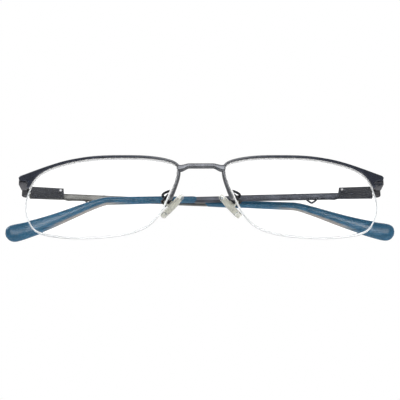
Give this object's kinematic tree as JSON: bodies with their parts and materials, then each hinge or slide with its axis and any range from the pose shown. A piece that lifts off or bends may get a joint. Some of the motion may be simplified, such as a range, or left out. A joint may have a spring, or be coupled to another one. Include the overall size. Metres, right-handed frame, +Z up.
{
  "type": "eyeglasses",
  "caption": "Half-rim metal eyeglasses, folded, with brow rims over clear lenses on nylon cord, spring-hinged temples, nose pads and acetate tips.",
  "frame": {"origin": "the nose seat, midway between the middles of the two nose pads' faces", "axes": "+X to the wearer's left, +Y back towards the wearer's ears, +Z up; the hinge pins are parallel to Z"},
  "size_m": [0.1358, 0.022, 0.0307],
  "materials": {
    "navy_paint": "satin navy enamel fading to gunmetal by the nose",
    "gunmetal": "polished gunmetal plating",
    "liner": "translucent nylon liner",
    "clear_lens": "clear coated lens",
    "nylon": "clear nylon line",
    "dark_steel": "dark plated hinge",
    "screw_steel": "bright steel",
    "navy_box": "satin navy enamel",
    "brass_bush": "turned brass",
    "spring_steel": "spring wire",
    "blue_acetate": "polished petrol blue acetate",
    "arm_metal": "gunmetal wire",
    "silicone": "clear silicone"
  },
  "bodies": {
    "front": {"bridge": "gunmetal", "left_brow_rim": "navy_paint", "right_brow_rim": "navy_paint", "left_rim_liner": "liner", "right_rim_liner": "liner", "left_lens": "clear_lens", "right_lens": "clear_lens", "left_nylon_cord": "nylon", "right_nylon_cord": "nylon", "left_endpiece": "gunmetal", "right_endpiece": "gunmetal", "left_front_hinge": "dark_steel", "right_front_hinge": "dark_steel", "left_hinge_screw": "screw_steel", "right_hinge_screw": "screw_steel", "left_pad_arm": "arm_metal", "right_pad_arm": "arm_metal", "left_pad_box": "arm_metal", "right_pad_box": "arm_metal", "left_pad_screw": "screw_steel", "right_pad_screw": "screw_steel"},
    "left_link": {"left_hinge_link": "screw_steel"},
    "left_temple": {"left_hinge_box": "navy_box", "left_spring_bush": "brass_bush", "left_hinge_spring": "spring_steel", "left_box_rivet": "screw_steel", "left_temple_bar": "gunmetal", "left_temple_tip": "blue_acetate", "left_temple_trim": "gunmetal"},
    "left_pad": {"left_nose_pad": "silicone"},
    "right_link": {"right_hinge_link": "screw_steel"},
    "right_temple": {"right_hinge_box": "navy_box", "right_spring_bush": "brass_bush", "right_hinge_spring": "spring_steel", "right_box_rivet": "screw_steel", "right_temple_bar": "gunmetal", "right_temple_tip": "blue_acetate", "right_temple_trim": "gunmetal"},
    "right_pad": {"right_nose_pad": "silicone"}
  },
  "joints": [
    {"name": "left_fold", "type": "hinge", "parent": "front", "child": "left_link", "pos_m": [0.06185, 0.0027, 0.0085], "axis": [0, 0, -1], "range_deg": [0, 102]},
    {"name": "left_spring", "type": "slide", "parent": "left_link", "child": "left_temple", "axis": [-0.9999, -0.0122, 0], "range_m": [0, 0.0015], "stiffness_N_per_m": 3000, "springref_m": -0.0005, "deforming": ["left_hinge_spring"]},
    {"name": "left_pad_tilt", "type": "hinge", "parent": "front", "child": "left_pad", "pos_m": [0.01179, -0.00135, 0.00215], "axis": [0.4193, 0.9066, 0.0468], "range_deg": [-8, 8]},
    {"name": "right_fold", "type": "hinge", "parent": "front", "child": "right_link", "pos_m": [-0.06185, 0.0027, 0.0085], "axis": [0, 0, 1], "range_deg": [0, 98]},
    {"name": "right_spring", "type": "slide", "parent": "right_link", "child": "right_temple", "axis": [0.9994, 0.0349, 0], "range_m": [0, 0.0015], "stiffness_N_per_m": 3000, "springref_m": -0.0005, "deforming": ["right_hinge_spring"]},
    {"name": "right_pad_tilt", "type": "hinge", "parent": "front", "child": "right_pad", "pos_m": [-0.01179, -0.00135, 0.00215], "axis": [0.4193, -0.9066, -0.0468], "range_deg": [-8, 8]}
  ]
}
